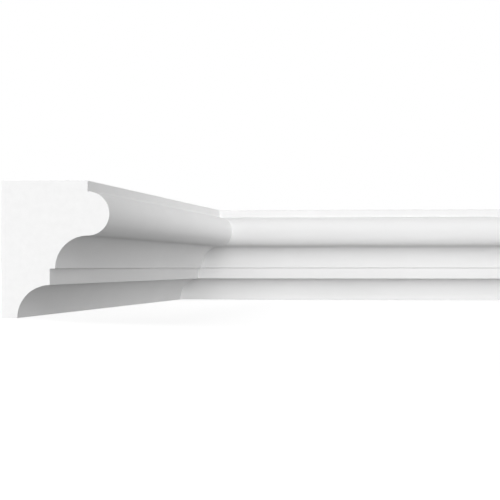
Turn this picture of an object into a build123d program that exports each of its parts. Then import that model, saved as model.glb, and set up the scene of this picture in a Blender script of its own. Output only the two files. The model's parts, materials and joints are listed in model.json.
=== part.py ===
"""Cornice moulding turned round an inside corner: two straight lengths of one section, mitred where the walls meet.

From its foot up, the section has a cove, a flat fillet, a second cove that flows into a half-round bead,
and a flat fillet under the ceiling. Its back lies flat on the wall and its top flat under the ceiling.

Millimetres, +Z up. The origin is the foot of the room corner, on the line where the two walls meet.
The left wall is X = 0, and its length of moulding runs from the corner along -Y.
The right wall is Y = 0, and its length of moulding runs from the corner along +X.
"""

import os

from build123d import *

# Members of the section, from the foot up
foot_width = 15.0
lower_cove_radius = 30.0
middle_fillet_height = 15.0
upper_cove_overhang = 5.0
upper_cove_radius = 30.0
bead_radius = 20.0
top_fillet_height = 10.0

# The mould's own rounding of the sharp front edges
arris_radius = 0.6

# Lengths along the walls, from the room corner to the square-cut end
left_wall_length = 1000.0
right_wall_length = 2000.0

# Projections from the wall
middle_fillet_face = foot_width + lower_cove_radius
upper_cove_lip = middle_fillet_face + upper_cove_overhang
top_fillet_face = upper_cove_lip + upper_cove_radius

# Heights above the foot
middle_fillet_base = lower_cove_radius
upper_cove_base = middle_fillet_base + middle_fillet_height
bead_base = upper_cove_base + upper_cove_radius
bead_centre = bead_base + bead_radius
top_fillet_base = bead_centre + bead_radius
ceiling_height = top_fillet_base + top_fillet_height

# Front edges that the mould rounds
arrises = [
    (foot_width, 0),
    (middle_fillet_face, middle_fillet_base),
    (upper_cove_lip, upper_cove_base),
    (top_fillet_face, ceiling_height),
]

# The section, with X as projection from the wall and Y as height
with BuildSketch() as section:
    with BuildLine():
        foot = Line((0, 0), (foot_width, 0))
        lower_cove = CenterArc((middle_fillet_face, 0), lower_cove_radius, 180, -90)
        middle_fillet = Line(lower_cove @ 1, (middle_fillet_face, upper_cove_base))
        lip = Line(middle_fillet @ 1, (upper_cove_lip, upper_cove_base))
        upper_cove = CenterArc((top_fillet_face, upper_cove_base), upper_cove_radius, 180, -90)
        bead = CenterArc((top_fillet_face, bead_centre), bead_radius, -90, 180)
        top_fillet = Line(bead @ 1, (top_fillet_face, ceiling_height))
        ceiling_side = Line(top_fillet @ 1, (0, ceiling_height))
        wall_side = Line(ceiling_side @ 1, foot @ 0)
    make_face()
    fillet([section.vertices().sort_by_distance(arris)[0] for arris in arrises], arris_radius)

# Planes on which the section is drawn, each with its X away from the wall and its Y up
left_wall_section = Plane.XZ
right_wall_section = Plane(origin=(0, 0, 0), x_dir=(0, -1, 0), z_dir=(-1, 0, 0))

# The upright plane that halves the corner between the two walls
mitre = Plane(origin=(0, 0, 0), x_dir=(0, 0, 1), z_dir=(1, 1, 0))

# The length on the left wall, square at its near end and mitred at the corner
with BuildPart() as left_length:
    with BuildSketch(left_wall_section):
        add(section.sketch)
    extrude(amount=left_wall_length)
    split(bisect_by=mitre, keep=Keep.BOTTOM)
left_length.part.label = "left_length"

# The length on the right wall, mitred at the corner and square at its far end
with BuildPart() as right_length:
    with BuildSketch(right_wall_section):
        add(section.sketch)
    extrude(amount=-right_wall_length)
    split(bisect_by=mitre, keep=Keep.TOP)
right_length.part.label = "right_length"

os.makedirs("parts", exist_ok=True)
export_step(left_length.part, "parts/left_length.step")
export_step(right_length.part, "parts/right_length.step")
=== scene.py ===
"""Looks of a white cornice moulding that turns an inside corner.

Each packed length is stood for by a finely divided mesh of the same section, with smooth coves and bead,
rounded front edges, primer on its faces and bare foam on its sawn end.

Metres, +Z up. The origin is the foot of the room corner, on the line where the two walls meet.
The left length runs from the corner along -Y, and the right length along +X.
"""

import json
import math

import bmesh
import bpy
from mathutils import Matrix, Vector


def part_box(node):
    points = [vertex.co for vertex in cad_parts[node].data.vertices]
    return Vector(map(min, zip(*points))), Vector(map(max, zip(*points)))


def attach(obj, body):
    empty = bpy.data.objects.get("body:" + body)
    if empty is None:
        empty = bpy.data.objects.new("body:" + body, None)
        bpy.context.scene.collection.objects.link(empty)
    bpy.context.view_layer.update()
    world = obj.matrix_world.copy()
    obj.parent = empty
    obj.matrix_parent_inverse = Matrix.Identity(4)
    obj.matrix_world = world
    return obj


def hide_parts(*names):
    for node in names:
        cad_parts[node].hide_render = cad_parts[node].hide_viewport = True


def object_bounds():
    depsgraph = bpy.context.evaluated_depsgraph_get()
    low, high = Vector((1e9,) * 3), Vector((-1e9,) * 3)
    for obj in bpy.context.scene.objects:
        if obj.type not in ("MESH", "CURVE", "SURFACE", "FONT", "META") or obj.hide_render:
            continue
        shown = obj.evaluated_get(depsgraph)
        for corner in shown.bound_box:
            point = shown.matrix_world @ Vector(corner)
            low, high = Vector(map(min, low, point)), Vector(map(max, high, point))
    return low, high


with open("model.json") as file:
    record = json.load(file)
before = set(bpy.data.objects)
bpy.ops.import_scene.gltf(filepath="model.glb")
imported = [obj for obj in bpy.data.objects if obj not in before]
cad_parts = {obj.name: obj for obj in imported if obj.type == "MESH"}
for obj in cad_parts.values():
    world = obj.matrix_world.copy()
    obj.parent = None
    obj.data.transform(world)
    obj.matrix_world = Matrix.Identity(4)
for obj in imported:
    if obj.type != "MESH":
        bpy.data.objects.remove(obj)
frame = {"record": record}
cad_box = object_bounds()

# Members of the section, from the foot up
FOOT_WIDTH = 0.015
LOWER_COVE_RADIUS = 0.030
MIDDLE_FILLET_HEIGHT = 0.015
UPPER_COVE_OVERHANG = 0.005
UPPER_COVE_RADIUS = 0.030
BEAD_RADIUS = 0.020
TOP_FILLET_HEIGHT = 0.010

# The mould's own rounding of the sharp front edges
ARRIS_RADIUS = 0.0006

# Projections from the wall
MIDDLE_FILLET_FACE = FOOT_WIDTH + LOWER_COVE_RADIUS
UPPER_COVE_LIP = MIDDLE_FILLET_FACE + UPPER_COVE_OVERHANG
TOP_FILLET_FACE = UPPER_COVE_LIP + UPPER_COVE_RADIUS

# Heights above the foot
UPPER_COVE_BASE = LOWER_COVE_RADIUS + MIDDLE_FILLET_HEIGHT
BEAD_BASE = UPPER_COVE_BASE + UPPER_COVE_RADIUS
BEAD_CENTRE = BEAD_BASE + BEAD_RADIUS
CEILING_HEIGHT = BEAD_CENTRE + BEAD_RADIUS + TOP_FILLET_HEIGHT

# Lengths along the walls, from the room corner to the sawn end
LEFT_LENGTH = -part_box("left_length")[0].y
RIGHT_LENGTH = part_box("right_length")[1].x

# Fineness of the meshes
ARC_STEP = 0.001
ARRIS_STEPS = 8
STATION_SPACING = 0.05
SMOOTH_ANGLE = math.radians(30)

# The dense skin that closes the foam, as it shows round the sawn end
SKIN_THICKNESS = 0.0005

# Order of the materials on each length
PRIMED, BACK, SAWN, SKIN = range(4)

# The map that follows each length along its run and round its section
RUN_MAP = "run"

# The finish: the record's white, matt and chalky
WHITE = frame["record"]["materials"][0]["base_color"][0]
SHEEN_LEVEL = 0.25
CHALKINESS = 0.3

# Roughness: the primer's varies with its mottle, and the others' are even
PRIMER_ROUGHNESS = (0.68, 0.78)
BACK_ROUGHNESS = 0.75
FOAM_ROUGHNESS = 0.85
SKIN_ROUGHNESS = 0.7

# Depths of the fine relief
PRIMER_LINE_DEPTH = 0.00001
PRIMER_GRAIN_DEPTH = 0.00002
BACK_GRAIN_DEPTH = 0.00008
FOAM_CELL_DEPTH = 0.00006
FOAM_LUMP_DEPTH = 0.00008

# How far the primer's lines are drawn out along the run, and how fine the foam's cells are
LINE_STRETCH = 250
FOAM_CELLS_PER_METRE = 2200

# The band in which most values of a noise lie
NOISE_BAND = (0.3, 0.7)


def arc(centre, radius, start, end):
    """Points of the section along an arc, from one angle to the other, in degrees."""
    turn = math.radians(end - start)
    steps = max(ARRIS_STEPS, math.ceil(radius * abs(turn) / ARC_STEP))
    angles = [math.radians(start) + turn * step / steps for step in range(steps + 1)]
    return [(centre[0] + radius * math.cos(angle), centre[1] + radius * math.sin(angle)) for angle in angles]


def rounding(radius):
    """How a rounded edge meets a cove of this radius.

    Gives the distance between their centres along the edge's flat side, and the angle it takes off the cove.
    """
    reach = math.sqrt((radius + ARRIS_RADIUS) ** 2 - ARRIS_RADIUS ** 2)
    angle = math.degrees(math.asin(ARRIS_RADIUS / (radius + ARRIS_RADIUS)))
    return reach, angle


def cove_with_lip(centre, radius, end):
    """A cove that rises from a level edge, with that edge rounded, to the angle end."""
    reach, angle = rounding(radius)
    lip = arc((centre[0] - reach, centre[1] + ARRIS_RADIUS), ARRIS_RADIUS, -90, -angle)
    return lip[:-1] + arc(centre, radius, 180 - angle, end)


def front_outline():
    """The moulded front of the section from the foot to the ceiling, as projections and heights."""
    reach, angle = rounding(LOWER_COVE_RADIUS)
    lower_cove = cove_with_lip((MIDDLE_FILLET_FACE, 0), LOWER_COVE_RADIUS, 90 + angle)
    fillet_edge = arc((MIDDLE_FILLET_FACE - ARRIS_RADIUS, reach), ARRIS_RADIUS, angle - 90, 0)
    fillet_top = (MIDDLE_FILLET_FACE, UPPER_COVE_BASE)
    upper_cove = cove_with_lip((TOP_FILLET_FACE, UPPER_COVE_BASE), UPPER_COVE_RADIUS, 90)
    bead = arc((TOP_FILLET_FACE, BEAD_CENTRE), BEAD_RADIUS, -90, 90)
    top_edge = arc((TOP_FILLET_FACE - ARRIS_RADIUS, CEILING_HEIGHT - ARRIS_RADIUS), ARRIS_RADIUS, 0, 90)
    return lower_cove[:-1] + fillet_edge + [fillet_top] + upper_cove[:-1] + bead + top_edge


FRONT = front_outline()
OUTLINE = FRONT + [(0, CEILING_HEIGHT), (0, 0)]


def on_left_wall(along, out, up):
    """A point of the left length, by its distance from the corner, its projection and its height."""
    return (out, -along, up)


def on_right_wall(along, out, up):
    """A point of the right length, by its distance from the corner, its projection and its height."""
    return (along, -out, up)


def moulded_length(name, place, wall_length, materials):
    """One length of moulding: mitred at the corner, square at its sawn end."""
    shape = bmesh.new()
    run = shape.loops.layers.uv.new(RUN_MAP)
    stations = round(wall_length / STATION_SPACING)

    # Girth up to each point of the outline, so that the finish can follow the section
    girths = [0.0]
    for first, second in zip(OUTLINE, OUTLINE[1:] + OUTLINE[:1]):
        girths.append(girths[-1] + math.dist(first, second))

    rings = []
    for station in range(stations + 1):
        share = station / stations
        alongs = [out + (wall_length - out) * share for out, up in OUTLINE]
        rings.append([shape.verts.new(place(along, *point)) for along, point in zip(alongs, OUTLINE)])

    count = len(OUTLINE)
    for station, (near, far) in enumerate(zip(rings, rings[1:])):
        for index in range(count):
            after = (index + 1) % count
            face = shape.faces.new((near[index], near[after], far[after], far[index]))
            face.smooth = True
            face.material_index = PRIMED if index < len(FRONT) - 1 else BACK
            lengthwise = (station, station, station + 1, station + 1)
            around = (girths[index], girths[index + 1], girths[index + 1], girths[index])
            for loop, step, girth in zip(face.loops, lengthwise, around):
                loop[run].uv = (step * STATION_SPACING, girth)

    mitre = shape.faces.new(rings[0])
    mitre.material_index = SAWN
    sawn_end = shape.faces.new(rings[-1])
    sawn_end.material_index = SAWN
    skin = bmesh.ops.inset_region(shape, faces=[sawn_end], thickness=SKIN_THICKNESS)
    for face in skin["faces"]:
        face.material_index = SKIN
    bmesh.ops.recalc_face_normals(shape, faces=shape.faces)

    mesh = bpy.data.meshes.new(name)
    shape.to_mesh(mesh)
    shape.free()
    mesh.set_sharp_from_angle(angle=SMOOTH_ANGLE)
    for material in materials:
        mesh.materials.append(material)
    length = bpy.data.objects.new(name, mesh)
    bpy.context.scene.collection.objects.link(length)
    normals = length.modifiers.new("flat_fillets", "WEIGHTED_NORMAL")
    normals.keep_sharp = True
    return length


def new_material(name):
    """A new material, matt and chalky, with its node tree and its surface shader."""
    material = bpy.data.materials.new(name)
    material.use_nodes = True
    tree = material.node_tree
    surface = tree.nodes["Principled BSDF"]
    surface.inputs["Specular IOR Level"].default_value = SHEEN_LEVEL
    surface.inputs["Diffuse Roughness"].default_value = CHALKINESS
    return material, tree, surface


def own_place(tree):
    """The place of the shaded point in its object's own frame."""
    return tree.nodes.new("ShaderNodeTexCoord").outputs["Object"]


def noise(tree, place, scale, detail):
    """A noise texture's value; scale is in lumps per metre."""
    texture = tree.nodes.new("ShaderNodeTexNoise")
    texture.inputs["Scale"].default_value = scale
    texture.inputs["Detail"].default_value = detail
    tree.links.new(place, texture.inputs["Vector"])
    return texture.outputs["Fac"]


def map_range(tree, value, source, goal):
    """A value carried from one range to another, each given by its two ends."""
    ramp = tree.nodes.new("ShaderNodeMapRange")
    for socket, end in zip(("From Min", "From Max", "To Min", "To Max"), (*source, *goal)):
        ramp.inputs[socket].default_value = end
    tree.links.new(value, ramp.inputs["Value"])
    return ramp.outputs["Result"]


def mottled_white(tree, surface, place, scale, detail, darkest, lightest):
    """Colours the surface in soft lumps, between two shares of the white, and gives the noise behind them."""
    mottle = noise(tree, place, scale, detail)
    colour = map_range(tree, mottle, NOISE_BAND, (darkest * WHITE, lightest * WHITE))
    tree.links.new(colour, surface.inputs["Base Color"])
    return mottle


def bump(tree, height, depth, below=None):
    """A surface raised by height times depth, in metres, over the one below it."""
    node = tree.nodes.new("ShaderNodeBump")
    node.inputs["Distance"].default_value = depth
    tree.links.new(height, node.inputs["Height"])
    if below is not None:
        tree.links.new(below, node.inputs["Normal"])
    return node.outputs["Normal"]


def primer():
    """Sprayed white primer: matt, faintly mottled, with a fine grain and faint lines along the run."""
    material, tree, surface = new_material("white_primer")
    place = own_place(tree)
    mottle = mottled_white(tree, surface, place, scale=9, detail=4, darkest=0.985, lightest=1.015)
    tree.links.new(map_range(tree, mottle, NOISE_BAND, PRIMER_ROUGHNESS), surface.inputs["Roughness"])

    run = tree.nodes.new("ShaderNodeUVMap")
    run.uv_map = RUN_MAP
    stretch = tree.nodes.new("ShaderNodeMapping")
    stretch.inputs["Scale"].default_value = (1 / LINE_STRETCH, 1, 1)
    tree.links.new(run.outputs["UV"], stretch.inputs["Vector"])
    lines = bump(tree, noise(tree, stretch.outputs["Vector"], scale=700, detail=2), PRIMER_LINE_DEPTH)
    grain = bump(tree, noise(tree, place, scale=1500, detail=3), PRIMER_GRAIN_DEPTH, below=lines)
    tree.links.new(grain, surface.inputs["Normal"])
    return material


def plain_back():
    """The flat sides that are glued to wall and ceiling: thinner primer over a coarser skin."""
    material, tree, surface = new_material("plain_back")
    place = own_place(tree)
    mottled_white(tree, surface, place, scale=30, detail=6, darkest=0.955, lightest=0.995)
    surface.inputs["Roughness"].default_value = BACK_ROUGHNESS
    grain = bump(tree, noise(tree, place, scale=600, detail=4), BACK_GRAIN_DEPTH)
    tree.links.new(grain, surface.inputs["Normal"])
    return material


def sawn_foam():
    """Fine closed cells of the rigid foam, cut open by the saw."""
    material, tree, surface = new_material("sawn_foam")
    place = own_place(tree)
    mottle = mottled_white(tree, surface, place, scale=160, detail=5, darkest=0.985, lightest=1.015)
    surface.inputs["Roughness"].default_value = FOAM_ROUGHNESS
    cells = tree.nodes.new("ShaderNodeTexVoronoi")
    cells.inputs["Scale"].default_value = FOAM_CELLS_PER_METRE
    tree.links.new(place, cells.inputs["Vector"])
    hollows = bump(tree, cells.outputs["Distance"], FOAM_CELL_DEPTH)
    lumps = bump(tree, mottle, FOAM_LUMP_DEPTH, below=hollows)
    tree.links.new(lumps, surface.inputs["Normal"])
    return material


def dense_skin():
    """The solid skin of the foam, seen in section round the sawn end."""
    material, tree, surface = new_material("dense_skin")
    mottled_white(tree, surface, own_place(tree), scale=400, detail=3, darkest=1.00, lightest=1.02)
    surface.inputs["Roughness"].default_value = SKIN_ROUGHNESS
    return material


MATERIALS = [primer(), plain_back(), sawn_foam(), dense_skin()]

for name, node, place, wall_length in (
    ("left_moulding", "left_length", on_left_wall, LEFT_LENGTH),
    ("right_moulding", "right_length", on_right_wall, RIGHT_LENGTH),
):
    moulding = moulded_length(name, place, wall_length, MATERIALS)
    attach(moulding, "root")
    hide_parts(node)

# Stage: a plain pale floor just under the part
FLOOR_SIZE = 60.0
FLOOR_LEVEL = -0.0002

# The floor's greys: the one that bounces light up, and the one on which the part's shadow shows
FLOOR_BOUNCE = 0.35
FLOOR_SHADE = 0.30

# The floor's glow: a little under white near the part, so that its shadow shows, and white further off
GLOW_REACH = (1.5, 3.5)
FLOOR_GLOW = (0.85, 1.0)


def grey(level):
    """An opaque grey."""
    return (level, level, level, 1)


def split_by_ray(tree, shown, lighting, output):
    """Shows one shader to the eye, in reflections and through glass, and lights the scene by the other."""
    path = tree.nodes.new("ShaderNodeLightPath")
    seen = path.outputs["Is Camera Ray"]
    for kind in ("Is Glossy Ray", "Is Transmission Ray"):
        either = tree.nodes.new("ShaderNodeMath")
        either.operation = "MAXIMUM"
        tree.links.new(seen, either.inputs[0])
        tree.links.new(path.outputs[kind], either.inputs[1])
        seen = either.outputs["Value"]
    choice = tree.nodes.new("ShaderNodeMixShader")
    tree.links.new(seen, choice.inputs["Fac"])
    tree.links.new(lighting, choice.inputs[1])
    tree.links.new(shown, choice.inputs[2])
    tree.links.new(choice.outputs["Shader"], tree.nodes[output].inputs["Surface"])


def floor_material():
    """Pale floor that bounces light as a grey card, and is seen as white with the part's shadow on it."""
    material = bpy.data.materials.new("pale_floor")
    material.use_nodes = True
    tree = material.node_tree
    tree.nodes.remove(tree.nodes["Principled BSDF"])
    bounce = tree.nodes.new("ShaderNodeBsdfDiffuse")
    bounce.inputs["Color"].default_value = grey(FLOOR_BOUNCE)
    shade = tree.nodes.new("ShaderNodeBsdfDiffuse")
    shade.inputs["Color"].default_value = grey(FLOOR_SHADE)
    distance = tree.nodes.new("ShaderNodeVectorMath")
    distance.operation = "LENGTH"
    tree.links.new(own_place(tree), distance.inputs[0])
    glow = tree.nodes.new("ShaderNodeEmission")
    level = map_range(tree, distance.outputs["Value"], GLOW_REACH, FLOOR_GLOW)
    tree.links.new(level, glow.inputs["Strength"])
    shown = tree.nodes.new("ShaderNodeAddShader")
    tree.links.new(glow.outputs["Emission"], shown.inputs[0])
    tree.links.new(shade.outputs["BSDF"], shown.inputs[1])
    split_by_ray(tree, shown.outputs["Shader"], bounce.outputs["BSDF"], "Material Output")
    return material


part_middle = (cad_box[0] + cad_box[1]) / 2
bpy.ops.mesh.primitive_plane_add(size=FLOOR_SIZE, location=(part_middle.x, part_middle.y, FLOOR_LEVEL))
floor = bpy.context.object
floor.name = "floor"
floor.data.materials.append(floor_material())

# World: white where it is seen, and a low even light elsewhere
AMBIENT = 0.12


def white_world():
    """The surroundings of the scene."""
    world = bpy.data.worlds.new("studio")
    world.use_nodes = True
    tree = world.node_tree
    ambient = tree.nodes["Background"]
    ambient.inputs["Color"].default_value = grey(1)
    ambient.inputs["Strength"].default_value = AMBIENT
    white = tree.nodes.new("ShaderNodeBackground")
    white.inputs["Color"].default_value = grey(1)
    split_by_ray(tree, white.outputs["Background"], ambient.outputs["Background"], "World Output")
    return world


bpy.context.scene.world = white_world()

# What the soft boxes are aimed at
MIDDLE = Vector((0.3, -0.5, 0.06))
CORNER = Vector((0.1, -0.15, 0.08))
SAWN_END = Vector((RIGHT_LENGTH, 0.0, 0.06))
FLOOR_IN_FRONT = Vector((0.4, -4.0, 0.0))

# The beam of a soft box with no grid on it
OPEN_BEAM = 180


def soft_box(name, target, azimuth, elevation, distance, size, power, grid=OPEN_BEAM):
    """A lamp that faces its target, in degrees, metres and watts.

    Azimuth 0 is in front and 90 at the right. A grid narrows the beam to its angle.
    """
    turn = math.radians(azimuth)
    level = math.cos(math.radians(elevation))
    back = Vector((level * math.sin(turn), -level * math.cos(turn), math.sin(math.radians(elevation))))
    lamp = bpy.data.lights.new(name, "AREA")
    lamp.shape = "RECTANGLE"
    lamp.size, lamp.size_y = size
    lamp.energy = power
    lamp.spread = math.radians(grid)
    box = bpy.data.objects.new(name, lamp)
    box.location = target + distance * back
    box.rotation_euler = back.to_track_quat("Z", "Y").to_euler()
    box.visible_camera = False
    bpy.context.scene.collection.objects.link(box)


# Soft boxes: a low bank in front, a wash on the floor, gridded boxes at the right and a fill behind
soft_box("front_key", MIDDLE, azimuth=0, elevation=2.1, distance=12, size=(3.0, 0.9), power=383)
soft_box("front_strip", MIDDLE, azimuth=10, elevation=2.1, distance=12, size=(13.0, 0.9), power=490)
soft_box("front_high", MIDDLE, azimuth=10, elevation=11.7, distance=12, size=(3.0, 1.5), power=294)
soft_box("floor_wash", FLOOR_IN_FRONT, azimuth=0, elevation=90, distance=1.5, size=(1.2, 1.2), power=24)
soft_box("side_low", CORNER, azimuth=75, elevation=5, distance=8, size=(0.8, 0.8), power=1.56, grid=20)
soft_box("side_high", CORNER, azimuth=88, elevation=50, distance=8, size=(0.8, 0.8), power=1.41, grid=16)
soft_box("end_fill", SAWN_END, azimuth=100, elevation=45, distance=3, size=(0.6, 0.6), power=0.7, grid=20)
soft_box("rear_fill", MIDDLE, azimuth=220, elevation=25, distance=10.6, size=(4.0, 4.0), power=1000)

# Camera: just above the height of the middle fillet, turned a little towards the corner
CAMERA_PLACE = (0.42288, -2.68967, 0.04699)
CAMERA_TURN = math.radians(6.5715)
CAMERA_TILT = math.radians(0.4965)
CAMERA_LENS = 136.44
SENSOR_WIDTH = 36

camera_data = bpy.data.cameras.new("camera")
camera_data.lens = CAMERA_LENS
camera_data.sensor_width = SENSOR_WIDTH
camera = bpy.data.objects.new("camera", camera_data)
camera.location = CAMERA_PLACE
camera.rotation_euler = (math.radians(90) + CAMERA_TILT, 0, CAMERA_TURN)
bpy.context.scene.collection.objects.link(camera)
bpy.context.scene.camera = camera
bpy.context.scene.view_settings.view_transform = "Standard"
